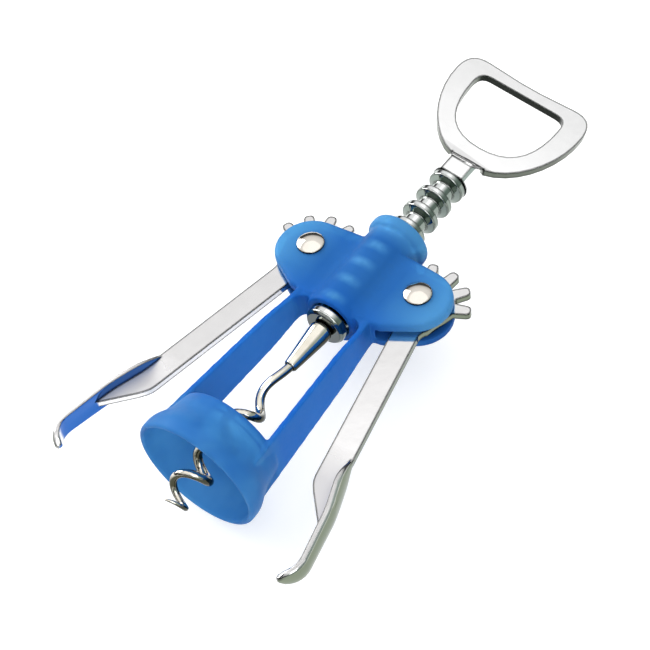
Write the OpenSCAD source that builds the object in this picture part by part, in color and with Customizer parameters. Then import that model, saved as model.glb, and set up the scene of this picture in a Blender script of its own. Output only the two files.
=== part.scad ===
// Double-lever corkscrew: a one-piece plastic frame, two stamped levers whose
// toothed ends gear into a ringed rack, and a turning handle that carries the
// screw. Every piece is drawn in the place it has when the levers hang down.
// Millimetres. The screw axis is Y, the handle is at +Y, the face is +Z.

/* [Which piece] */
// Piece to draw, or all of them

/* [Bell] */
// Largest radius of the bell, just above its mouth
bell_r = 20.05; // [17:0.05:24]
// Radius of the bell's small upper end
bell_top_r = 16.6; // [15:0.1:19]
// Height of the bell
bell_h = 16.65; // [14:0.05:22]
// Thickness of the bell's wall
bell_wall = 1.75; // [1.2:0.05:2.4]
// Height of the straight lip round the mouth
bell_lip_h = 3.1; // [2:0.1:6]
// Height at which the flare has reached the narrow part
bell_flare_h = 12.2; // [10:0.1:13.5]
// Radius of the hole in the seat that stops on the bottle's rim
seat_hole_r = 12.5; // [10:0.1:13.5]
// Thickness of that seat
seat_t = 1.85; // [1.2:0.05:3]

/* [Legs] */
// Distance from the axis to a leg's inner face at the window's middle height
leg_in = 13.0; // [12:0.1:14.5]
// Thickness of a leg at the window's middle height
leg_t = 1.75; // [1.6:0.05:3]
// Half depth of a leg at the window's middle height
leg_half_depth = 7.2; // [5.5:0.1:8]
// Outward lean of the legs, millimetres per millimetre of height
leg_lean = 0.058; // [0.02:0.001:0.08]
// Growth of the legs' half depth towards the bell
leg_flare = 0.038; // [0:0.001:0.05]
// Height of the top of the window between the legs
window_top = 65.3; // [64.8:0.1:66.2]
// Radius of the window's upper corners
window_corner_r = 3.2; // [2:0.1:4]

/* [Wings] */
// Half thickness of the wings over both plates
wing_half_t = 5.4; // [4.8:0.1:6.5]
// Half width of the slot the levers swing in
slot_half = 2.05; // [1.9:0.05:2.4]
// Radius of the rounded ears
ear_r = 11.0; // [9.5:0.1:12]
// Distance of the ears' centres from the axis
ear_x = 19.5; // [18.5:0.1:21]
// Height of the ears' centres
ear_y = 81.1; // [80:0.1:83]
// Angle below the level at which the ears run into their straight lower edge
foot_slope = 58; // [52:1:62]
// Radius of the hollow between the tube and the wings' faces
saddle_fillet = 7; // [3:0.5:10]
// Rounding of the wings' outer edges
wing_round = 1.3; // [0.4:0.1:2]
// Half width of the wings where they meet the legs
wing_foot = 16.3; // [15.4:0.1:17]

/* [Tube and collar] */
// Outer radius of the tube
tube_r = 8.8; // [8:0.1:10]
// Bore of the tube
bore_r = 6.45; // [6.35:0.05:6.7]
// Height of the tube's lower rim
tube_bottom = 64.2; // [64.1:0.1:65]
// Outer radius of the collar
collar_r = 10.1; // [9.4:0.1:11.5]
// Height of the collar's top
collar_top = 101.35; // [100:0.05:103]
// Rounding of the collar's top edge
collar_round = 1.3; // [0.4:0.1:2]

/* [Lever] */
// Distance of a pivot from the screw axis
pivot_x = 19.65; // [19.4:0.05:19.9]
// Height of the pivots
pivot_y = 81.9; // [81.4:0.1:82.4]
// Angle of the straps away from the axis at rest
rest_angle = 11.3; // [8:0.1:14]
// Thickness of the lever sheet
lever_t = 2.2; // [1.6:0.1:2.6]
// Radius of the toothed end between the teeth
hub_r = 10.7; // [9.5:0.1:11.8]
// Radius to the tips of the teeth
tooth_tip_r = 15.6; // [15:0.05:15.8]
// Width of a tooth at its root
tooth_root_w = 3.9; // [3.4:0.1:4.2]
// Width of a tooth under its rounded tip
tooth_w = 3.3; // [2.8:0.1:3.5]
// Number of teeth
tooth_count = 7; // [6:1:7]
// Direction of the tooth that stands just above the line to the rack
tooth_phase = 164.5; // [163:0.1:166]
// Distance from the pivot line to the strap's outer edge
strap_out = 4.5; // [3.5:0.1:5.5]
// Distance from the pivot line to the strap's inner edge
strap_in = 3.4; // [2.8:0.1:4]

/* [Finger grip] */
// Distance from the pivot at which the pad starts to rise from the strap
grip_start = 56.0; // [50:0.5:60]
// Distance from the pivot at which the curl at the end starts
grip_curl = 90.5; // [84:0.5:95]
// Distance of the pad's outer face from the pivot line
grip_out = 7.5; // [6:0.1:8]
// Radius of the curl along the middle of the pad
curl_r = 6.5; // [4:0.1:7]
// Largest half height of the pad, front to back
grip_half_h = 4.75; // [3:0.05:6]
// Loss of half height per millimetre of length
grip_taper = 0.037; // [0.01:0.001:0.06]
// Distance of the pad's middle in front of the strap's middle
grip_lift = 0.65; // [0:0.05:1]
// Thickness of the pad
grip_t = 2.3; // [1.6:0.1:2.6]
// Depth of the hollow along the pad's inner face
grip_dish = 1.3; // [0.4:0.1:2]

/* [Rack] */
// Spacing of the rings
ring_pitch = 7.4; // [7.3:0.05:7.5]
// Radius between the rings
ring_root_r = 3.7; // [3.3:0.05:3.8]
// Drop of the rings below the middle of the teeth, within the backlash
mesh_shift = 0.35; // [0:0.05:0.4]
// Width of a ring at its crest
ring_crest = 2.4; // [1.8:0.1:2.6]
// Width of a ring at its root
ring_base = 4.2; // [3.2:0.1:4.4]
// Number of rings
ring_count = 9; // [9:1:9]
// Overhang of the stop flange past the bore
flange_lip = 0.25; // [0.2:0.05:1]
// Height of the stop flange
flange_h = 3.4; // [2.4:0.1:4]

/* [Handle] */
// Thickness of the opener plate
head_t = 2.6; // [2.2:0.1:4]
// Half width of the opener plate
head_half_w = 24.15; // [21:0.1:27]
// Height of the opener plate's top edge
head_top = 175.3; // [172:0.1:182]
// Height of the opener plate's lower end
head_bottom = 137.6; // [137:0.1:139]
// Half width of the opening
slot_half_w = 16.4; // [13:0.1:18]
// Height of the opening's straight upper edge
slot_top = 171.1; // [166:0.1:172]
// Height of the opening's lower end
slot_bottom = 144.4; // [143:0.1:150]
// Turn of the opener plate about the screw axis
head_turn = 12; // [-30:0.5:30]
// Radius of the neck under the opener plate
neck_r = 6.2; // [5.6:0.1:6.3]
// Half distance across the flats of the neck
neck_flat = 5.2; // [4.2:0.1:5.8]

/* [Screw] */
// Radius of the turning spindle inside the rack
spindle_r = 2.2; // [1.8:0.05:2.6]
// Radius of the screw's wire
wire_r = 1.5; // [1:0.05:1.6]
// Radius of the helix the wire follows
helix_r = 4.05; // [3:0.05:4.5]
// Height at which the first full turn starts
helix_y0 = -8.4; // [-10:0.1:-6]
// Rise per turn at the pointed end
helix_rise = 9.67; // [8.8:0.05:10.4]
// Growth of the rise from turn to turn
helix_stretch = 0.63; // [0.4:0.01:0.8]
// Turns from the first full turn to where the wire starts to run in
shank_from = 2.7; // [2.4:0.05:3]
// Direction of the wire at the start of the first full turn
helix_turn0 = 38; // [0:1:359]
// Turns that the point winds on below the first full turn
point_turns = 0.36; // [0.2:0.01:0.6]
// Turns over which the wire tapers to its point
point_taper = 1.3; // [0.4:0.1:2]
// Radius of the ferrule at its upper end
ferrule_top_r = 3.6; // [3.2:0.1:4.2]
// Radius of the ferrule at its lower end
ferrule_tip_r = 2.1; // [1.8:0.1:2.6]

/* [Rivets] */
// Radius of a rivet's domed head
rivet_head_r = 4.3; // [3.6:0.1:5]
// Height of a rivet's head over all
rivet_head_h = 1.85; // [1.5:0.05:2.2]
// Height of the straight rim under the dome
rivet_rim_h = 0.7; // [0.4:0.05:0.9]
// Radius of a rivet's post
post_r = 2.15; // [1.8:0.05:2.6]

/* [Fits] */
// Radial clearance of the turning fits
run_gap = 0.05; // [0.02:0.01:0.1]
// Radial clearance of the pressed joints
press_gap = 0.01; // [0:0.01:0.02]
// Radial clearance of the rack's rings in the tube
ring_gap = 0.4; // [0.3:0.05:0.6]
// Clearance between neighbouring pieces that move
air = 0.3; // [0.25:0.05:0.4]

/* [Hidden] */
$fn = 64;
slice = 0.01;
sink = 0.5;
bell_draft = 0.15;
rim_round = 1.1;
top_round = 0.5;
window_mid = 40;
leg_foot = 6;
leg_knee = 50;
leg_head = window_top + 2;
wing_bottom = window_top + 0.3;
foot_rise = 1.1;
sill_half = 9;
wing_top = 93.2;
crown_half = 6;
top_slope = 4.6;
saddle_low = window_top + 1.7;
saddle_high = wing_top - 1.2;
slot_r = tooth_tip_r + 0.5;
boss_r = 4.2;
root_out_r = 4;
root_in_r = 2;
strap_end = 65;
heel_in = 1.2;
heel_end = strap_end + 8.5;
pad_join = 83;
pad_swing = 22;
pad_rise = 12;
pad_sides = 16;
curl_turn = 76;
curl_tip = 1.1;
pitch_line = 4.95;
mesh_r = pivot_x - pitch_line;
tooth_step = ring_pitch / mesh_r * 180 / PI;
gap_y = pivot_y + mesh_r * (180 - tooth_phase) * PI / 180;
ring_y0 = gap_y - mesh_shift - 2.5 * ring_pitch;
flange_top = tube_bottom - air;
rack_top = ring_y0 + (ring_count - 1) * ring_pitch + ring_crest / 2;
neck_bottom = rack_top + air;
spindle_top = neck_bottom + 5;
shank_slow = 0.4;
ferrule_top = flange_top - flange_h - air;
ferrule_bottom = 44;
socket_bottom = ferrule_bottom + 4;
cap_socket = 0.9;
neck_lap = 3;
half_lever = lever_t / 2;
ring_r = bore_r - ring_gap;
flange_r = bore_r + flange_lip;
pad_root = strap_out - 0.4;
pad_mid_out = grip_out - grip_t / 2;

// ---- shared helpers ------------------------------------------------------

// turns a revolved or extruded piece so that its axis lies along Y
module along_y() {
    rotate([-90, 0, 0]) children();
}

// revolves an outline given as [radius, height] points about the screw axis
module turned(points) {
    along_y() rotate_extrude($fn = 96) polygon(points);
}

function arc(cx, cy, r, a0, a1, n) =
    [for (i = [0 : n]) let (a = a0 + (a1 - a0) * i / n)
        [cx + r * cos(a), cy + r * sin(a)]];

function bezier(a, b, c, d, n) =
    [for (i = [0 : n - 1]) let (t = i / n, s = 1 - t)
        s * s * s * a + 3 * s * s * t * b + 3 * s * t * t * c + t * t * t * d];

function turn2(p, a) = [p[0] * cos(a) - p[1] * sin(a),
                        p[0] * sin(a) + p[1] * cos(a)];

function ease(t) = t * t * (3 - 2 * t);
function clamp01(t) = max(0, min(1, t));
function swapped(points) = [for (i = [len(points) - 1 : -1 : 0])
                                [-points[i][0], points[i][1]]];

// closed skin over a row of loops that all have the same number of points
module skin(loops) {
    m = len(loops[0]);
    last = len(loops) - 1;
    polyhedron(
        points = [for (l = loops) each l],
        faces = concat(
            [[for (j = [0 : m - 1]) j]],
            [[for (j = [m - 1 : -1 : 0]) last * m + j]],
            [for (i = [0 : last - 1]) for (j = [0 : m - 1]) let (k = (j + 1) % m)
                each [[i * m + j, (i + 1) * m + j, (i + 1) * m + k],
                      [i * m + j, (i + 1) * m + k, i * m + k]]]));
}

// ---- frame ---------------------------------------------------------------

// radius of the bell's outside, from the lip through the flare to the top
function bell_out(y) =
    let (t = clamp01((y - bell_lip_h) / (bell_flare_h - bell_lip_h)),
         narrow = bell_top_r + (bell_h - max(y, bell_flare_h)) * bell_draft)
    narrow + (bell_r - narrow) * (1 + cos(180 * t)) / 2;

bell_steps = [for (i = [0 : 10]) bell_lip_h
              + (bell_flare_h - bell_lip_h) * i / 10];

module bell_outside() {
    turned(concat(
        [[0, 0]],
        arc(bell_r - rim_round, rim_round, rim_round, -90, 0, 5),
        [for (y = bell_steps) [bell_out(y), y]],
        arc(bell_top_r - top_round, bell_h - top_round, top_round, 8, 90, 3),
        [[0, bell_h]]));
}

module bell_cavity() {
    floor_y = bell_h - seat_t;
    turned(concat(
        [[0, -1], [bell_r - bell_wall + 0.5, -1]],
        [[bell_r - bell_wall + 0.5, 0], [bell_r - bell_wall, 0.7]],
        [for (y = bell_steps) [bell_out(y) - bell_wall, y]],
        [[bell_out(floor_y) - bell_wall, floor_y], [seat_hole_r, floor_y],
         [seat_hole_r, bell_h + 1], [0, bell_h + 1]]));
}

// distance of a leg's inner face from the axis
function leg_inner(y) = leg_in + leg_lean * (window_mid - y);

// half depth of a leg: narrowing upwards, then easing in between the plates
function leg_depth(y) =
    let (t = ease(clamp01((y - leg_knee) / (window_top - leg_knee))))
    (leg_half_depth + leg_flare * (window_mid - y)) * (1 - t)
    + (wing_half_t - 0.3) * t;

module leg(side) {
    edge = concat([leg_foot], [for (i = [0 : 6])
                               leg_knee + (leg_head - leg_knee) * i / 6]);
    intersection() {
        translate([0, 0, -15]) linear_extrude(30) polygon([
            [side * leg_inner(leg_head), leg_head],
            [side * (leg_inner(leg_head) + leg_t), leg_head],
            [side * (leg_inner(leg_foot) + leg_t), leg_foot],
            [side * leg_inner(leg_foot), leg_foot]]);
        translate([side > 0 ? 0 : -25, 0, 0]) rotate([90, 0, 90])
            linear_extrude(25) polygon(concat(
                [for (y = edge) [y, leg_depth(y)]],
                [for (i = [len(edge) - 1 : -1 : 0]) [edge[i], -leg_depth(edge[i])]]));
    }
}

// the bar that closes the window, with the window's rounded upper corners
module bridge() {
    r = window_corner_r;
    edge = leg_inner(window_top - r / 2);
    reach = edge + 0.6;
    half = wing_half_t - 0.6;
    translate([0, 0, -half]) linear_extrude(2 * half) polygon(concat(
        [[reach, leg_head - sink], [-reach, leg_head - sink],
         [-reach, window_top - r]],
        [for (i = [0 : 5]) [-edge + r - r * cos(18 * i),
                            window_top - r + r * sin(18 * i)]],
        [for (i = [5 : -1 : 0]) [edge - r + r * cos(18 * i),
                                 window_top - r + r * sin(18 * i)]],
        [[reach, window_top - r]]));
}

// outline of both wings, drawn in by the amount given
function wing_outline(inset) = concat(
    arc(ear_x, ear_y, ear_r - inset, -foot_slope, 90 - top_slope, 12),
    [[crown_half, wing_top - inset], [-crown_half, wing_top - inset]],
    arc(-ear_x, ear_y, ear_r - inset, 90 + top_slope, 180 + foot_slope, 12),
    [[-wing_foot + 0.5 * inset, wing_bottom + foot_rise + inset],
     [-sill_half, wing_bottom + inset], [sill_half, wing_bottom + inset],
     [wing_foot - 0.5 * inset, wing_bottom + foot_rise + inset]]);

// thin slice of the wings, part way round their outer edge, on both faces
module wing_layer(a) {
    z = wing_half_t - wing_round * (1 - sin(a)) - slice / 2;
    for (s = [-1, 1]) translate([0, 0, s * z - slice / 2]) linear_extrude(slice)
        polygon(wing_outline(wing_round * (1 - cos(a))));
}

module wings() {
    hull() {
        for (a = [0, 32, 62, 90]) wing_layer(a);
    }
}

// the swelling that carries the tube's roundness out into the wings: on each
// face an arc runs from the tube down to the plate, tangent to both
module saddle() {
    crown = tube_r - 0.05;
    plate = wing_half_t - 0.05;
    reach = sqrt(pow(crown + saddle_fillet, 2) - pow(plate + saddle_fillet, 2));
    lean = atan2(plate + saddle_fillet, reach);
    quarter = concat(
        arc(reach, plate + saddle_fillet, saddle_fillet, 270, 180 + lean, 6),
        arc(0, 0, crown, lean, 90, 5));
    half_section = concat(quarter, [for (i = [len(quarter) - 2 : -1 : 0])
                                    [-quarter[i][0], quarter[i][1]]]);
    translate([0, saddle_low, 0]) along_y() linear_extrude(saddle_high - saddle_low)
        polygon(concat(half_section, [for (i = [len(half_section) - 1 : -1 : 0])
                                      [half_section[i][0], -half_section[i][1]]]));
}

module tube_outside() {
    turned(concat(
        [[0, tube_bottom], [tube_r - 0.4, tube_bottom],
         [tube_r, tube_bottom + 0.4], [tube_r, collar_top - 4.7],
         [collar_r - 0.75, collar_top - 4.2], [collar_r - 0.2, collar_top - 3.7],
         [collar_r, collar_top - 3.1]],
        arc(collar_r - collar_round, collar_top - collar_round, collar_round,
            0, 90, 6),
        [[0, collar_top]]));
}

module bore() {
    turned([[0, tube_bottom - 1], [bore_r, tube_bottom - 1],
            [bore_r, collar_top - 0.5], [bore_r + 0.6, collar_top + 0.1],
            [bore_r + 0.6, collar_top + 1], [0, collar_top + 1]]);
}

// room between the plates for one toothed end and its strap
module lever_slot(side) {
    translate([side * pivot_x, pivot_y, -slot_half])
        cylinder(r = slot_r, h = 2 * slot_half);
    translate([side > 0 ? wing_foot + 0.7 : -wing_foot - 15.7, 60, -slot_half])
        cube([15, pivot_y - 60, 2 * slot_half]);
}

// raised rings inside the slot that keep the lever in the middle
module pivot_bosses(side) {
    for (s = [-1, 1]) translate([side * pivot_x, pivot_y,
            s > 0 ? half_lever + air : -slot_half - sink])
        cylinder(r = boss_r, h = slot_half + sink - half_lever - air);
}

module frame() {
    color("RoyalBlue", 0.85) difference() {
        union() {
            difference() {
                union() {
                    bell_outside();
                    leg(1);
                    leg(-1);
                    bridge();
                    wings();
                    saddle();
                    tube_outside();
                }
                bell_cavity();
                lever_slot(1);
                lever_slot(-1);
            }
            pivot_bosses(1);
            pivot_bosses(-1);
        }
        bore();
        for (side = [-1, 1]) translate([side * pivot_x, pivot_y, -10])
            cylinder(r = post_r + run_gap, h = 20);
    }
}

// ---- levers --------------------------------------------------------------

// one tooth standing out along the direction a
function tooth(a) = [for (p = [
    [hub_r - 0.1, -tooth_root_w / 2], [tooth_tip_r - 1.3, -tooth_w / 2],
    [tooth_tip_r - 0.55, -tooth_w / 2 + 0.25],
    [tooth_tip_r - 0.12, -tooth_w / 2 + 0.75],
    [tooth_tip_r, -0.35], [tooth_tip_r, 0.35],
    [tooth_tip_r - 0.12, tooth_w / 2 - 0.75],
    [tooth_tip_r - 0.55, tooth_w / 2 - 0.25],
    [tooth_tip_r - 1.3, tooth_w / 2], [hub_r - 0.1, tooth_root_w / 2]])
    turn2(p, a)];

// the hub between two teeth
function gullet(a) = arc(0, 0, hub_r, a + 13, a + tooth_step - 13, 3);

first_tooth = tooth_phase - rest_angle - 5 * tooth_step;

// half angle and rounding where the strap leaves the hub
function root_round(w, r) = let (c = hub_r + r, y = sqrt(c * c - (w + r) * (w + r)))
    [w + r, -y, r, atan2(y, w + r)];

// lever plate about its pivot: strap down, outer edge at +X
function plate_outline() =
    let (o = root_round(strap_out, root_out_r), i = root_round(strap_in, root_in_r))
    concat(
        [for (k = [0 : tooth_count - 1]) each concat(
            tooth(first_tooth + k * tooth_step),
            k < tooth_count - 1 ? gullet(first_tooth + k * tooth_step) : [])],
        arc(0, 0, hub_r, first_tooth + (tooth_count - 1) * tooth_step + 13,
            180 + i[3], 4),
        [for (p = arc(i[0], i[1], i[2], 180 - i[3], 180, 4)) each
            [[-i[0] - (p[0] - i[0]), p[1]]]],
        bezier([-strap_in, -strap_end], [-strap_in, -strap_end - 4],
               [heel_in, -heel_end], [pad_mid(pad_join), -pad_join], 8),
        [for (l = [pad_join : -2 : grip_start + 4]) [pad_mid(l), -l]],
        [[strap_out, -grip_start]],
        arc(o[0], o[1], o[2], 180, 180 - o[3], 5));

// distance of the pad's middle from the pivot line
function pad_mid(l) = pad_root + (pad_mid_out - pad_root)
    * ease(clamp01((l - grip_start) / pad_swing));

// half height and half thickness of the pad, rising out of the strap
function pad_half(l) = (grip_half_h - grip_taper * (l - grip_start))
    * sin(90 * clamp01((l - grip_start) / pad_rise));
function pad_thick(l) = grip_t / 2 * (0.35 + 0.65 * clamp01((l - grip_start) / 8));

// stations of the pad: [across, along, turn of the outer face, half height,
// half thickness], down the straight run, round the curl and over its tip
curl_high = pad_half(grip_curl);
pad_line = concat(
    [for (l = [grip_start + 0.5 : 2 : grip_curl - 1])
        [pad_mid(l), -l, 0, pad_half(l), pad_thick(l)]],
    [for (i = [0 : 7]) curl_at(curl_turn * i / 8,
        curl_tip + (curl_high - curl_tip) * sqrt(1 - pow(i / 8, 2)), grip_t / 2)],
    [for (t = [0, 40, 70])
        curl_at(curl_turn + 9 * sin(t), curl_tip * cos(t), grip_t / 2 * cos(t))]);

function curl_at(a, high, thick) = [pad_mid_out - curl_r + curl_r * cos(a),
                                    -grip_curl - curl_r * sin(a), a, high, thick];

// rounded section of the pad at one station, with its edges drawn inwards
function pad_loop(p) = [for (j = [0 : pad_sides - 1])
    let (a = 360 * j / pad_sides, z = p[3] * rounded(sin(a)),
         n = p[4] * rounded(cos(a)) - grip_dish * pow(z / grip_half_h, 2))
    [p[0] + n * cos(p[2]), p[1] - n * sin(p[2]), grip_lift + z]];
function rounded(v) = sign(v) * pow(abs(v), 0.6);

module right_lever() {
    color("Silver") translate([pivot_x, pivot_y, 0])
        rotate([0, 0, rest_angle]) difference() {
            union() {
                translate([0, 0, -half_lever]) linear_extrude(lever_t)
                    polygon(plate_outline());
                skin([for (p = pad_line) pad_loop(p)]);
            }
            translate([0, 0, -5]) cylinder(r = post_r + run_gap, h = 10);
        }
}

module left_lever() {
    mirror([1, 0, 0]) right_lever();
}

// ---- rivets --------------------------------------------------------------

// outline of a head: straight rim, then a dome that ends on the axis
function head_profile() =
    let (h = rivet_head_h - rivet_rim_h,
         ball_r = (rivet_head_r * rivet_head_r + h * h) / (2 * h),
         edge = asin(rivet_head_r / ball_r))
    concat([[0, 0], [rivet_head_r, 0]],
           [for (i = [6 : -1 : 1]) [ball_r * sin(edge * i / 6),
                rivet_head_h - ball_r + ball_r * cos(edge * i / 6)]],
           [[0, rivet_head_h]]);

module rivet(side) {
    color("Gainsboro") translate([side * pivot_x, pivot_y, 0]) union() {
        translate([0, 0, wing_half_t])
            rotate_extrude($fn = 96) polygon(head_profile());
        translate([0, 0, -wing_half_t - cap_socket])
            cylinder(r = post_r, h = 2 * wing_half_t + cap_socket + sink);
    }
}

module rivet_cap(side) {
    color("Gainsboro") translate([side * pivot_x, pivot_y, -wing_half_t])
        mirror([0, 0, 1]) difference() {
            rotate_extrude($fn = 96) polygon(head_profile());
            translate([0, 0, -1]) cylinder(r = post_r + press_gap, h = 1 + cap_socket);
        }
}

module left_rivet() { rivet(-1); }
module right_rivet() { rivet(1); }
module left_rivet_cap() { rivet_cap(-1); }
module right_rivet_cap() { rivet_cap(1); }

// ---- rack, handle and screw ----------------------------------------------

function ring(y, top) = concat(
    [[ring_root_r, y - ring_base / 2], [ring_r - 0.3, y - ring_crest / 2],
     [ring_r, y - ring_crest / 2 + 0.3], [ring_r, y + ring_crest / 2 - 0.3],
     [ring_r - 0.3, y + ring_crest / 2]],
    top ? [] : [[ring_root_r, y + ring_base / 2]]);

module rack() {
    bore = spindle_r + run_gap;
    low = flange_top - flange_h;
    color("Silver") turned(concat(
        [[bore, low], [flange_r - 0.8, low], [flange_r, low + 0.9],
         [flange_r, flange_top - 0.5], [flange_r - 0.5, flange_top]],
        [for (k = [0 : ring_count - 1])
            each ring(ring_y0 + k * ring_pitch, k == ring_count - 1)],
        [[bore, rack_top]]));
}

// half outline of the opener plate, from the neck round to the top's middle
function head_half() = concat(
    bezier([neck_r, head_bottom], [16.4, head_bottom + 3],
           [head_half_w + 0.4, head_top - 20.4], [head_half_w, head_top - 6.9], 9),
    bezier([head_half_w, head_top - 6.9], [head_half_w - 0.2, head_top - 0.9],
           [head_half_w - 3, head_top + 1.2], [head_half_w - 8, head_top + 0.9], 7),
    bezier([head_half_w - 8, head_top + 0.9], [10, head_top + 0.6],
           [5, head_top], [0, head_top], 4));

// half outline of the opening, from the lower end round to the upper edge
function slot_outline() = concat(
    bezier([0, slot_bottom], [11.5, slot_bottom],
           [slot_half_w - 0.2, slot_bottom + 7.7], [slot_half_w, slot_top - 5.6], 9),
    bezier([slot_half_w, slot_top - 5.6], [slot_half_w + 0.1, slot_top - 1.8],
           [slot_half_w - 0.8, slot_top], [slot_half_w - 4.1, slot_top], 5),
    [[slot_half_w - 4.1, slot_top]]);

module handle() {
    half = head_t / 2;
    color("Silver") rotate([0, head_turn, 0]) difference() {
        union() {
            translate([0, 0, -half]) linear_extrude(head_t) difference() {
                polygon(concat(head_half(), swapped(head_half())));
                polygon(concat(slot_outline(), swapped(slot_outline())));
            }
            // neck: round, flattened front and back, sloping into the plate
            intersection() {
                translate([0, neck_bottom, 0]) along_y()
                    cylinder(r = neck_r, h = head_bottom + neck_lap - neck_bottom);
                translate([-10, 0, 0]) rotate([90, 0, 90]) linear_extrude(20)
                    polygon([[neck_bottom - 1, neck_flat],
                             [neck_bottom - 1, -neck_flat],
                             [head_bottom - 4, -neck_flat],
                             [head_bottom + 0.9, -half],
                             [head_bottom + neck_lap, -half],
                             [head_bottom + neck_lap, half],
                             [head_bottom + 0.9, half],
                             [head_bottom - 4, neck_flat]]);
            }
        }
        translate([0, neck_bottom - 1, 0]) along_y()
            cylinder(r = spindle_r + press_gap, h = spindle_top - neck_bottom + 1);
    }
}

module spindle() {
    color("DimGray") translate([0, socket_bottom, 0]) along_y()
        cylinder(r = spindle_r, h = spindle_top - socket_bottom);
}

module ferrule() {
    color("Silver") turned([
        [wire_r + press_gap, ferrule_bottom], [ferrule_tip_r - 0.3, ferrule_bottom],
        [ferrule_tip_r, ferrule_bottom + 0.4],
        [ferrule_top_r - 0.15, ferrule_top - 3.5], [ferrule_top_r, ferrule_top - 1.2],
        [ferrule_top_r - 0.2, ferrule_top - 0.3], [ferrule_top_r - 0.6, ferrule_top],
        [spindle_r + press_gap, ferrule_top], [spindle_r + press_gap, socket_bottom],
        [wire_r + press_gap, socket_bottom]]);
}

// height of the wire, by turns from the first full turn, and the turns to the
// ferrule's mouth
function helix_y(t) = helix_y0 + helix_rise * t + helix_stretch * t * t;
helix_turns = (sqrt(helix_rise * helix_rise + 4 * helix_stretch
                    * (ferrule_bottom - helix_y0)) - helix_rise) / (2 * helix_stretch);

// the last turn runs in to the axis, and its winding slows down on the way
function run_in(t) = clamp01((t - shank_from) / (helix_turns - shank_from));
function helix_out(t) = helix_r * (1 - run_in(t));
function helix_turn(t) = let (u = run_in(t)) helix_turn0 + 360
    * (min(t, shank_from) + (helix_turns - shank_from) * (u - shank_slow * u * u));

// thickness of the wire and its middle
function wire_at(t) = wire_r * (0.12 + 0.88 * sqrt(clamp01((t + point_turns)
                                                           / point_taper)));
function wire_mid(t) = let (a = helix_turn(t))
    [helix_out(t) * cos(a), helix_y(t), -helix_out(t) * sin(a)];

module worm() {
    n = 104;
    m = 10;
    step = (helix_turns + point_turns) / n;
    loops = [for (i = [0 : n + 1]) let (
        t = -point_turns + step * min(i, n),
        shank = i > n,
        p = shank ? [0, socket_bottom, 0] : wire_mid(t),
        q0 = wire_mid(t - 0.01), q1 = wire_mid(t + 0.01),
        d = (shank || i == n) ? [0, 1, 0] : (q1 - q0) / norm(q1 - q0),
        a = helix_turn(t),
        e = [cos(a), 0, -sin(a)],
        u0 = e - d * (e * d), u = u0 / norm(u0), v = cross(d, u))
        [for (j = [0 : m - 1]) p + wire_at(t)
            * (cos(360 * j / m) * u + sin(360 * j / m) * v)]];
    color("Silver") skin(loops);
}

frame();
left_lever();
right_lever();
left_rivet();
right_rivet();
left_rivet_cap();
right_rivet_cap();
rack();
handle();
spindle();
ferrule();
worm();
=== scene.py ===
import math

import bpy
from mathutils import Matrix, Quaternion, Vector


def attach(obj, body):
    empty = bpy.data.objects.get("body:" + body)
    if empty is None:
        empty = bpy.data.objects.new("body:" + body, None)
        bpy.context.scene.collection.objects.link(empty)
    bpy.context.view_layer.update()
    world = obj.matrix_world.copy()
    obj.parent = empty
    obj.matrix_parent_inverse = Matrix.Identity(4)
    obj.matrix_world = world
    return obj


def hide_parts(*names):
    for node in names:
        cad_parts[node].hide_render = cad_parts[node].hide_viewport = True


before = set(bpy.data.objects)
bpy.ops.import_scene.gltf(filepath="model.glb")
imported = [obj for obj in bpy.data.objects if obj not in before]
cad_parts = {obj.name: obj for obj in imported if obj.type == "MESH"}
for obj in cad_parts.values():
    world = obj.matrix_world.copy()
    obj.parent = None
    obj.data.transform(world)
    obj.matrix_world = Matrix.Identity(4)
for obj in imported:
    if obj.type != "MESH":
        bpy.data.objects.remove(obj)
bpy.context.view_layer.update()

# ---- camera ------------------------------------------------------------------------------
# The corkscrew lies on its back: screw axis along Y, handle at +Y, front face up (+Z).
# The camera stands at the bell's end, to the right, and looks down on it with a slight roll.
MM = 0.001
camera_place = Vector((203.8, -140.6, 352.8)) * MM
camera_aim = Vector((-0.3, 61.8, 0.0)) * MM
camera_roll = math.radians(-11.4)
camera_sensor = 36
camera_lens = 85.6

camera_data = bpy.data.cameras.new("camera")
camera_data.sensor_width = camera_sensor
camera_data.lens = camera_lens
camera = bpy.data.objects.new("camera", camera_data)
bpy.context.scene.collection.objects.link(camera)
camera.location = camera_place
camera.rotation_mode = "QUATERNION"
level_view = (camera_aim - camera_place).to_track_quat("-Z", "Y")
camera.rotation_quaternion = level_view @ Quaternion((0, 0, 1), camera_roll)
bpy.context.scene.camera = camera

# ---- floor, lamps and room ---------------------------------------------------------------
# A wide white table under the corkscrew, lit by two soft boxes and a pale ceiling.
# The room is dark low down, so that polished metal has something dark to mirror at its edges.
table_drop = 25.5 * MM
table_half = 12.0
table_white = (0.80, 0.80, 0.80, 1)
table_glow = 0.42
lamp_aim = (0, 0.08, 0)
room_strength = 1.28
# Height at which a ray meets the room, from 0 for level to 1 for straight up, and the grey there.
room_greys = ((0.00, 0.25), (0.04, 0.05), (0.32, 0.04), (0.44, 0.50), (0.60, 0.64),
              (0.79, 0.70), (0.84, 1.00), (1.00, 1.00))
right_wall_green = (0.30, 0.36, 0.33)


def shader_tree(name):
    """Returns a new material, its node tree and its output node."""
    material = bpy.data.materials.new(name)
    material.use_nodes = True
    tree = material.node_tree
    tree.nodes.clear()
    output = tree.nodes.new("ShaderNodeOutputMaterial")
    return material, tree, output


def reckon(tree, operation, *values):
    """One sum on a surface; each value is a socket or a plain number."""
    node = tree.nodes.new("ShaderNodeMath")
    node.operation = operation
    for socket, value in zip(node.inputs, values):
        if isinstance(value, (int, float)):
            socket.default_value = value
        else:
            tree.links.new(value, socket)
    return node.outputs[0]


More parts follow.
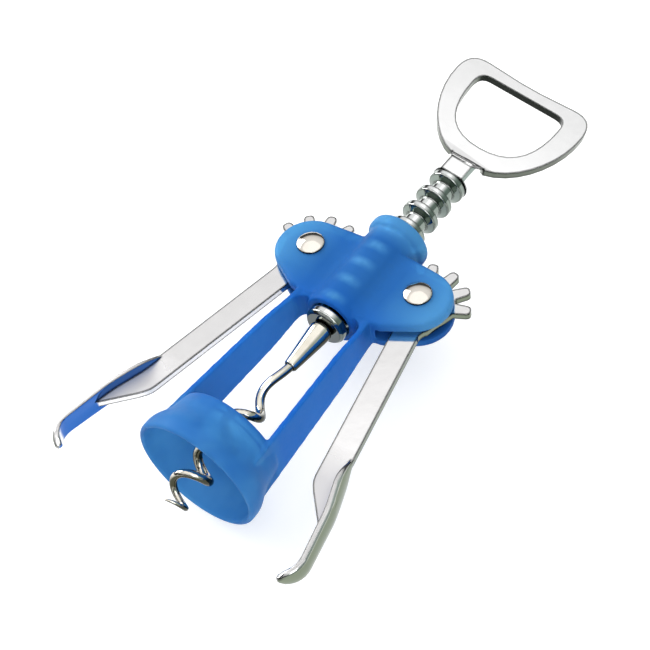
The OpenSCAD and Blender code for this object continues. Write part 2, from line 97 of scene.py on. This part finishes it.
def times(tree, share, *others):
    """The product of two or more shares."""
    for other in others:
        share = reckon(tree, "MULTIPLY", share, other)
    return share


def seen_directly(tree):
    """1 for rays that show the white ground itself, in metal and plastic too."""
    path = tree.nodes.new("ShaderNodeLightPath")
    seen = reckon(tree, "MAXIMUM", path.outputs["Is Camera Ray"], path.outputs["Is Glossy Ray"])
    return reckon(tree, "MAXIMUM", seen, path.outputs["Is Transmission Ray"])


def white_table():
    material, tree, output = shader_tree("white_table")
    diffuse = tree.nodes.new("ShaderNodeBsdfDiffuse")
    diffuse.inputs["Color"].default_value = table_white
    glow = tree.nodes.new("ShaderNodeEmission")
    both = tree.nodes.new("ShaderNodeAddShader")
    tree.links.new(times(tree, seen_directly(tree), table_glow), glow.inputs["Strength"])
    tree.links.new(diffuse.outputs[0], both.inputs[0])
    tree.links.new(glow.outputs[0], both.inputs[1])
    tree.links.new(both.outputs[0], output.inputs["Surface"])
    return material


table_mesh = bpy.data.meshes.new("table")
table_corners = [(x * table_half, y * table_half, -table_drop)
                 for x, y in ((-1, -1), (1, -1), (1, 1), (-1, 1))]
table_mesh.from_pydata(table_corners, [], [(0, 1, 2, 3)])
table = bpy.data.objects.new("table", table_mesh)
table.data.materials.append(white_table())
bpy.context.scene.collection.objects.link(table)


def soft_box(name, place, side, power):
    """A square lamp with a wide, even face, turned towards the corkscrew."""
    data = bpy.data.lights.new(name, "AREA")
    data.shape = "RECTANGLE"
    data.size = side
    data.size_y = side
    data.energy = power
    lamp = bpy.data.objects.new(name, data)
    lamp.location = place
    lamp.rotation_mode = "QUATERNION"
    lamp.rotation_quaternion = (Vector(lamp_aim) - Vector(place)).to_track_quat("-Z", "Y")
    bpy.context.scene.collection.objects.link(lamp)


soft_box("key_box", (-1.15, 0.12, 0.52), 0.85, 10.0)
soft_box("fill_box", (0.60, -0.45, 0.60), 0.55, 2.2)


def span_of(tree, value, low, high):
    """Runs from 0 to 1 as a value goes from low to high."""
    span = tree.nodes.new("ShaderNodeMapRange")
    span.inputs["From Min"].default_value = low
    span.inputs["From Max"].default_value = high
    tree.links.new(value, span.inputs["Value"])
    return span.outputs["Result"]


def blend(tree, share, first, second, mode="MIX"):
    """Mixes two colours; each is a socket or a plain colour."""
    mix = tree.nodes.new("ShaderNodeMix")
    mix.data_type = "RGBA"
    mix.blend_type = mode
    tree.links.new(share, mix.inputs[0])
    for socket, colour in ((mix.inputs[6], first), (mix.inputs[7], second)):
        if isinstance(colour, tuple):
            socket.default_value = (*colour, 1)
        else:
            tree.links.new(colour, socket)
    return mix.outputs[2]


room = bpy.data.worlds.new("room")
room.use_nodes = True
bpy.context.scene.world = room
room_tree = room.node_tree
room_tree.nodes.clear()
heading = room_tree.nodes.new("ShaderNodeTexCoord")
way = room_tree.nodes.new("ShaderNodeSeparateXYZ")
room_tree.links.new(heading.outputs["Generated"], way.inputs[0])
ceiling = room_tree.nodes.new("ShaderNodeValToRGB")
for height, grey in room_greys:
    if height in (0, 1):
        stop = ceiling.color_ramp.elements[0 if height == 0 else -1]
    else:
        stop = ceiling.color_ramp.elements.new(height)
    stop.color = (grey, grey, grey, 1)
room_tree.links.new(way.outputs["Z"], ceiling.inputs["Fac"])
right_wall = times(room_tree, span_of(room_tree, way.outputs["X"], 0.15, 0.50),
                   span_of(room_tree, way.outputs["Z"], 0.78, 0.55))
room_light = room_tree.nodes.new("ShaderNodeBackground")
room_light.inputs["Strength"].default_value = room_strength
room_tree.links.new(blend(room_tree, right_wall, ceiling.outputs["Color"], right_wall_green),
                    room_light.inputs["Color"])
room_output = room_tree.nodes.new("ShaderNodeOutputWorld")
room_tree.links.new(room_light.outputs[0], room_output.inputs["Surface"])

bpy.context.scene.view_settings.view_transform = "Standard"

# ---- frame: bell, legs, wings and tube ----------------------------------------------------
# One injection moulding in blue see-through plastic with a fine matt skin, so every edge and
# inner corner has a soft mould radius. The levers and the rack are fitted into it afterwards.
frame_grid = 0.26 * MM
frame_softening = 22
weld_reach = 0.002 * MM
ring_step = 7.4 * MM
ring_crest_y = 67.0 * MM
# Each blue runs from its darker to its lighter streaks.
leg_blue = ((0.009, 0.145, 0.640), (0.015, 0.170, 0.700))
plain_blue = ((0.022, 0.160, 0.520), (0.032, 0.190, 0.570))
thin_blue = ((0.080, 0.345, 0.740), (0.110, 0.400, 0.800))
# Painted shade in the moulding's corners, and how far that darkening reaches.
corner_shade_blue = (0.028, 0.160, 0.540)
corner_shade_reach = 7 * MM
# Painted shade on the lower plates of the wings, under the upper plates and the levers.
lower_plate_shade_blue = (0.012, 0.100, 0.380)
back_plate_shade_blue = (0.008, 0.070, 0.280)
inside_blue = (0.13, 0.56, 0.97, 1)
light_through = 0.30


def grain(tree, scale, detail=2.0, roughness=0.5):
    """A noise in object space; scale is in waves per metre."""
    place = tree.nodes.new("ShaderNodeTexCoord")
    noise = tree.nodes.new("ShaderNodeTexNoise")
    noise.inputs["Scale"].default_value = scale
    noise.inputs["Detail"].default_value = detail
    noise.inputs["Roughness"].default_value = roughness
    tree.links.new(place.outputs["Object"], noise.inputs["Vector"])
    return noise.outputs["Fac"]


def spread(tree, fac, low, high):
    """Stretches the middle of a noise to the range low to high."""
    span = tree.nodes.new("ShaderNodeMapRange")
    span.inputs["From Min"].default_value = 0.3
    span.inputs["From Max"].default_value = 0.7
    span.inputs["To Min"].default_value = low
    span.inputs["To Max"].default_value = high
    tree.links.new(fac, span.inputs["Value"])
    return span.outputs["Result"]


def tint(tree, fac, dark, light):
    """Colour that runs from dark to light with a noise."""
    ramp = tree.nodes.new("ShaderNodeValToRGB")
    ramp.color_ramp.elements[0].position = 0.3
    ramp.color_ramp.elements[0].color = (*dark, 1)
    ramp.color_ramp.elements[1].position = 0.7
    ramp.color_ramp.elements[1].color = (*light, 1)
    tree.links.new(fac, ramp.inputs["Fac"])
    return ramp.outputs["Color"]


def relief(tree, fac, depth):
    """Bump of the given depth in metres."""
    bump = tree.nodes.new("ShaderNodeBump")
    bump.inputs["Strength"].default_value = 1.0
    bump.inputs["Distance"].default_value = depth
    tree.links.new(fac, bump.inputs["Height"])
    return bump.outputs["Normal"]


def on_object(tree, kind, axis):
    place = tree.nodes.new("ShaderNodeTexCoord")
    parts = tree.nodes.new("ShaderNodeSeparateXYZ")
    tree.links.new(place.outputs[kind], parts.inputs[0])
    return parts.outputs[axis]


def place_along(tree, axis):
    """Place on an axis of the object, in metres."""
    return on_object(tree, "Object", axis)


def facing_along(tree, axis):
    """How far the surface faces along an axis of the object, from -1 to 1."""
    return on_object(tree, "Normal", axis)


def moulding_colour(tree, above_legs, below_legs):
    """Deeper along the legs, paler in the bell and at thin ends, with painted light over the rack's
    rings.
    """
    flow = grain(tree, 60, 3)
    pale = tint(tree, flow, *thin_blue)
    y, z = place_along(tree, "Y"), place_along(tree, "Z")
    from_middle = reckon(tree, "ABSOLUTE", place_along(tree, "X"))
    colour = blend(tree, reckon(tree, "ADD", above_legs, below_legs),
                   tint(tree, flow, *leg_blue), tint(tree, flow, *plain_blue))
    tips = times(tree, span_of(tree, from_middle, 12 * MM, 27 * MM), above_legs)
    collar = span_of(tree, y, 92 * MM, 99 * MM)
    colour = blend(tree, reckon(tree, "MAXIMUM", tips, collar), colour, pale)
    bell = times(tree, below_legs, spread(tree, grain(tree, 90, 2), 0.20, 0.60))
    colour = blend(tree, bell, colour, pale)
    # Painted light: pale bands on the tube's front where the rack's rings would show through, fixed
    # at the rack's rest position.
    past_crest = reckon(tree, "SUBTRACT", y, ring_crest_y)
    wave = reckon(tree, "PINGPONG", past_crest, ring_step / 2)
    crest = span_of(tree, wave, 0.30 * ring_step, 0.05 * ring_step)
    tube_front = times(tree, span_of(tree, from_middle, 5.0 * MM, 1.0 * MM),
                       span_of(tree, z, 5 * MM, 8 * MM), span_of(tree, y, 63 * MM, 66 * MM))
    rings = times(tree, crest, tube_front, spread(tree, grain(tree, 300, 2), 0.45, 0.95))
    return blend(tree, rings, colour, pale)


def frosted_plastic():
    """A pigmented body under a matt skin, with some light passing through as in frosted glass.
    Painted shade deepens it in corners and on the lower plates of the wings."""
    material, tree, output = shader_tree("frosted_plastic")
    y = place_along(tree, "Y")
    above_legs = span_of(tree, y, 58 * MM, 74 * MM)
    below_legs = span_of(tree, y, 20 * MM, 12 * MM)
    # Painted shade: ambient occlusion darkens the corners and creases towards a deeper blue.
    corner = tree.nodes.new("ShaderNodeAmbientOcclusion")
    corner.samples = 8
    corner.inputs["Distance"].default_value = corner_shade_reach
    colour = blend(tree, span_of(tree, corner.outputs["AO"], 0.16, 0.74), corner_shade_blue,
                   moulding_colour(tree, above_legs, below_legs))
    # Painted shade on the lower plates of the wings, which lie under the upper plates and the
    # levers; these plates also let less light through.
    lower_plates = times(tree, span_of(tree, place_along(tree, "Z"), 0.0, -2.5 * MM), above_legs)
    back_plate = times(tree, lower_plates, span_of(tree, facing_along(tree, "Z"), 0.2, 0.6))
    colour = blend(tree, lower_plates, colour, lower_plate_shade_blue)
    colour = blend(tree, back_plate, colour, back_plate_shade_blue)
    matt = relief(tree, grain(tree, 3500, 1), 0.03 * MM)
    skin = tree.nodes.new("ShaderNodeBsdfPrincipled")
    skin.inputs["IOR"].default_value = 1.30
    skin.inputs["Specular IOR Level"].default_value = 0.15
    tree.links.new(colour, skin.inputs["Base Color"])
    tree.links.new(spread(tree, grain(tree, 900), 0.48, 0.58), skin.inputs["Roughness"])
    tree.links.new(matt, skin.inputs["Normal"])
    inside = tree.nodes.new("ShaderNodeBsdfPrincipled")
    inside.inputs["Transmission Weight"].default_value = 1.0
    inside.inputs["IOR"].default_value = 1.12
    inside.inputs["Specular IOR Level"].default_value = 0.0
    inside.inputs["Roughness"].default_value = 0.25
    inside.inputs["Base Color"].default_value = inside_blue
    tree.links.new(matt, inside.inputs["Normal"])
    both = tree.nodes.new("ShaderNodeMixShader")
    tree.links.new(reckon(tree, "MULTIPLY_ADD", lower_plates, -light_through, light_through),
                   both.inputs["Fac"])
    tree.links.new(skin.outputs[0], both.inputs[1])
    tree.links.new(inside.outputs[0], both.inputs[2])
    tree.links.new(both.outputs[0], output.inputs["Surface"])
    return material


def join_faces(piece):
    """Joins the separate faces of a CAD node at their shared corners."""
    weld = piece.modifiers.new("weld", "WELD")
    weld.merge_threshold = weld_reach


def moulded_copy(node, name, grid, softening):
    """A copy of a CAD node on an even grid of faces, with its edges and corners softened."""
    copy = bpy.data.objects.new(name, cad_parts[node].data.copy())
    bpy.context.scene.collection.objects.link(copy)
    join_faces(copy)
    even = copy.modifiers.new("even", "REMESH")
    even.mode = "VOXEL"
    even.voxel_size = grid
    soften = copy.modifiers.new("soften", "SMOOTH")
    soften.factor = 0.5
    soften.iterations = softening
    graph = bpy.context.evaluated_depsgraph_get()
    mesh = bpy.data.meshes.new_from_object(copy.evaluated_get(graph))
    copy.modifiers.clear()
    copy.data = mesh
    mesh.name = name
    mesh.materials.clear()
    mesh.shade_smooth()
    return copy


moulding = moulded_copy("frame", "frame_moulding", frame_grid, frame_softening)
moulding.data.materials.append(frosted_plastic())
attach(moulding, "frame_unit")
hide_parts("frame")

# ---- levers ------------------------------------------------------------------------------
# Two levers cut from flat steel sheet, tumbled so that their edges are broken, and chromed.
# The toothed end sits between the wings on its rivet; the finger pad is pressed out sideways.
chrome_dark, chrome_light = (0.85, 0.84, 0.84), (0.89, 0.88, 0.88)
# Painted darker reflection on the levers' sides.
lever_side_painted = (0.20, 0.23, 0.17)
# Painted dark reflection line along the metal edges.
painted_edge_line = (0.020, 0.024, 0.020)
lever_edge = 0.22 * MM
satin_shade = (0.79, 0.78, 0.78)
pad_reflection_blue = (0.035, 0.14, 0.46)


def facing(tree, axis, low, high):
    """0 to 1 as the surface turns towards an axis of the object, either way along it."""
    return span_of(tree, reckon(tree, "ABSOLUTE", facing_along(tree, axis)), low, high)


def sharp_edges(tree, width):
    """1 along sharp edges, where a dark reflection line is painted, and 0 away from them."""
    rounded = tree.nodes.new("ShaderNodeBevel")
    rounded.samples = 6
    rounded.inputs["Radius"].default_value = width
    surface = tree.nodes.new("ShaderNodeNewGeometry")
    likeness = tree.nodes.new("ShaderNodeVectorMath")
    likeness.operation = "DOT_PRODUCT"
    tree.links.new(rounded.outputs["Normal"], likeness.inputs[0])
    tree.links.new(surface.outputs["Normal"], likeness.inputs[1])
    return span_of(tree, likeness.outputs["Value"], 0.998, 0.985)


def plated_metal(name, dark, light, smooth, rough, ripple, ripple_scale, painted_side=None, where_painted_side=None,
                 edge=0.0):
    """Polished plate: slightly uneven tint and polish, with a shallow ripple left by the stamping.
    Sides picked by a mask, where given, get a painted darker reflection, and the edges a painted
    dark line to a width of their own."""
    material, tree, output = shader_tree(name)
    skin = tree.nodes.new("ShaderNodeBsdfPrincipled")
    skin.inputs["Metallic"].default_value = 1.0
    colour = tint(tree, grain(tree, 140, 3), dark, light)
    # Painted reflection: the masked sides are made darker, standing in for the dark surroundings
    # they would mirror.
    if painted_side:
        colour = blend(tree, where_painted_side(tree), colour, painted_side)
    # Painted reflection: a dark line along the edges.
    if edge:
        colour = blend(tree, sharp_edges(tree, edge), colour, painted_edge_line)
    tree.links.new(colour, skin.inputs["Base Color"])
    tree.links.new(spread(tree, grain(tree, 420, 4), smooth, rough), skin.inputs["Roughness"])
    tree.links.new(relief(tree, grain(tree, ripple_scale, 2), ripple), skin.inputs["Normal"])
    tree.links.new(skin.outputs[0], output.inputs["Surface"])
    return material


def skin_of(metal):
    return next(node for node in metal.node_tree.nodes if node.type == "BSDF_PRINCIPLED")


def lay_over(metal, share, colour, mode="MIX"):
    """Lays a colour over a finished metal where the share is 1."""
    base = skin_of(metal).inputs["Base Color"]
    tree = metal.node_tree
    tree.links.new(blend(tree, share, base.links[0].from_socket, colour, mode), base)


def break_edges(node, width, turns=3, least_angle=32):
    """Joins a CAD node's faces in the modifier stack and rounds its sharp edges."""
    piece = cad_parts[node]
    join_faces(piece)
    flat = piece.modifiers.new("flat", "DECIMATE")
    flat.decimate_type = "DISSOLVE"
    flat.angle_limit = math.radians(1.5)
    bevel = piece.modifiers.new("edge", "BEVEL")
    bevel.width = width
    bevel.segments = turns
    bevel.limit_method = "ANGLE"
    bevel.angle_limit = math.radians(least_angle)
    bevel.harden_normals = False
    piece.data.shade_smooth()
    even = piece.modifiers.new("even", "WEIGHTED_NORMAL")
    even.keep_sharp = False


def plate(node, metal):
    """Gives a CAD node its metal."""
    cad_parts[node].data.materials.clear()
    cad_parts[node].data.materials.append(metal)


def inward(tree, low, high):
    """0 to 1 as the surface turns from facing away from the screw to facing it."""
    side = reckon(tree, "SIGN", place_along(tree, "X"))
    return span_of(tree, times(tree, facing_along(tree, "X"), side), low, high)


def lever_sides(tree):
    """The sides, where a darker reflection is painted, but not the hollow inner face of the pad."""
    return times(tree, facing(tree, "Z", 0.75, 0.45), inward(tree, -0.3, 0.1))


def pad_hollow_reflection(tree):
    """The inner face of the pad, where a reflection of the blue moulding beside it is painted."""
    from_middle = reckon(tree, "ABSOLUTE", place_along(tree, "X"))
    return times(tree, facing(tree, "Z", 0.45, 0.25), inward(tree, -0.80, -0.92),
                 span_of(tree, place_along(tree, "Y"), 30 * MM, 27 * MM),
                 span_of(tree, from_middle, 31 * MM, 33 * MM))


def beside_pad(tree):
    """The flat face next to the pad, which is made darker, rougher and less metallic."""
    return times(tree, facing(tree, "Z", 0.90, 0.97),
                 span_of(tree, place_along(tree, "Y"), 30 * MM, 18 * MM))


def lever_metal():
    metal = plated_metal("lever_chrome", chrome_dark, chrome_light, 0.08, 0.16, 0.012 * MM, 500,
                         lever_side_painted, lever_sides, 0.90 * MM)
    tree = metal.node_tree
    skin = skin_of(metal)
    satin = beside_pad(tree)
    polish = skin.inputs["Roughness"].links[0].from_socket
    lay_over(metal, satin, satin_shade, "MULTIPLY")
    # Painted reflection of the blue moulding on the pad's inner face.
    lay_over(metal, pad_hollow_reflection(tree), pad_reflection_blue)
    tree.links.new(reckon(tree, "MULTIPLY_ADD", satin, 0.35, polish), skin.inputs["Roughness"])
    tree.links.new(reckon(tree, "MULTIPLY_ADD", satin, -0.60, 1.0), skin.inputs["Metallic"])
    return metal


lever_chrome = lever_metal()
for lever in ("left_lever", "right_lever"):
    break_edges(lever, lever_edge, least_angle=60)
    plate(lever, lever_chrome)

# ---- rivets ------------------------------------------------------------------------------
# Domed nickel-plated rivets pass through both plates of a wing and carry the levers. At the
# back each has a pressed-on cap of the same shape.
rivet_edge = 0.15 * MM
# Painted reflection: the rivets' sides are painted near black, and a dark line is painted along
# their edges.
rivet_nickel = plated_metal("rivet_nickel", (0.78, 0.73, 0.66), (0.86, 0.82, 0.75),
                            0.06, 0.12, 0.01 * MM, 500, (0.05, 0.05, 0.045),
                            lambda tree: facing(tree, "Z", 0.55, 0.35), 0.40 * MM)
for rivet in ("left_rivet", "right_rivet", "left_rivet_cap", "right_rivet_cap"):
    break_edges(rivet, rivet_edge, turns=2)
    plate(rivet, rivet_nickel)

# ---- rack --------------------------------------------------------------------------------
# A turned steel stem with rings that the levers' teeth gear into, chromed all over. Its wide
# lower flange stops it against the tube.
rack_edge = 0.22 * MM
flange_underside_shadow = (0.11, 0.125, 0.12)


def rack_sides(tree):
    """The flanks of the rings and the sides of the stem, where a darker reflection is painted."""
    return reckon(tree, "MAXIMUM", facing(tree, "Y", 0.45, 0.85), facing(tree, "X", 0.35, 0.70))


def rack_metal():
    """Painted shade makes the flange's underside, which only the end of the tube sees, the darkest.
    """
    # Painted reflection: ring flanks and stem sides are painted grey-green, with a dark line along
    # the edges.
    metal = plated_metal("rack_chrome", (0.80, 0.82, 0.81), (0.88, 0.90, 0.89),
                         0.06, 0.14, 0.015 * MM, 300, (0.25, 0.29, 0.26), rack_sides, 0.80 * MM)
    tree = metal.node_tree
    # Painted shade under the flange.
    underside = times(tree, facing(tree, "Y", 0.45, 0.85),
                      span_of(tree, place_along(tree, "Y"), 63.5 * MM, 62.5 * MM))
    lay_over(metal, underside, flange_underside_shadow)
    return metal


break_edges("rack", rack_edge)
plate("rack", rack_metal())

# ---- handle ------------------------------------------------------------------------------
# A chromed casting: a flat opener plate with a D-shaped opening on a short flattened neck.
handle_edge = 0.40 * MM
working_edge_shade = (0.014, 0.017, 0.014)


def plate_sides(tree):
    """The sides of the opener plate and of its opening, but not the neck, where a darker reflection
    is painted.
    """
    return times(tree, facing(tree, "Z", 0.70, 0.40),
                 span_of(tree, place_along(tree, "Y"), 136.8 * MM, 137.6 * MM))


def handle_metal():
    """The face at the far side of the opening is made near black."""
    # Painted reflection: the plate's sides are painted dark grey-green, with a dark line along the
    # edges.
    metal = plated_metal("handle_chrome", (0.90, 0.90, 0.90), (0.95, 0.95, 0.95), 0.05, 0.12,
                         0.01 * MM, 160, (0.13, 0.145, 0.12), plate_sides, 0.90 * MM)
    tree = metal.node_tree
    working_edge = times(tree, span_of(tree, facing_along(tree, "Y"), -0.25, -0.60),
                         span_of(tree, place_along(tree, "Y"), 152 * MM, 156 * MM))
    lay_over(metal, working_edge, working_edge_shade)
    return metal


break_edges("handle", handle_edge, least_angle=40)
plate("handle", handle_metal())

# ---- spindle, ferrule and screw -----------------------------------------------------------
# The spindle is a plain rod inside the rack. The ferrule is a nickel-plated cone pressed over
# the rod's end, and it grips the screw, a tapered wire wound into an open right-handed helix.
nickel_dark, nickel_light = (0.66, 0.62, 0.53), (0.82, 0.79, 0.71)
nickel_side_painted = (0.055, 0.055, 0.035)
turned_edge = 0.15 * MM
spindle_steel = plated_metal("spindle_steel", (0.42, 0.42, 0.43), (0.52, 0.52, 0.53),
                             0.25, 0.35, 0.01 * MM, 600)
# Painted reflection: the sideways faces of the ferrule and the wire are painted near black, and the
# ferrule gets a dark line along its edges.
ferrule_nickel = plated_metal("ferrule_nickel", nickel_dark, nickel_light, 0.06, 0.14,
                              0.02 * MM, 400, nickel_side_painted,
                              lambda tree: facing(tree, "Z", 0.56, 0.20), 0.35 * MM)
wire_nickel = plated_metal("wire_nickel", nickel_dark, nickel_light, 0.06, 0.14,
                           0.02 * MM, 400, nickel_side_painted,
                           lambda tree: facing(tree, "Z", 0.66, 0.38))
for part, metal in (("spindle", spindle_steel), ("ferrule", ferrule_nickel)):
    break_edges(part, turned_edge, turns=2)
    plate(part, metal)

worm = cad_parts["worm"]
join_faces(worm)
worm_round = worm.modifiers.new("round", "SUBSURF")
worm_round.levels = 1
worm_round.render_levels = 1
worm.data.shade_smooth()
plate("worm", wire_nickel)
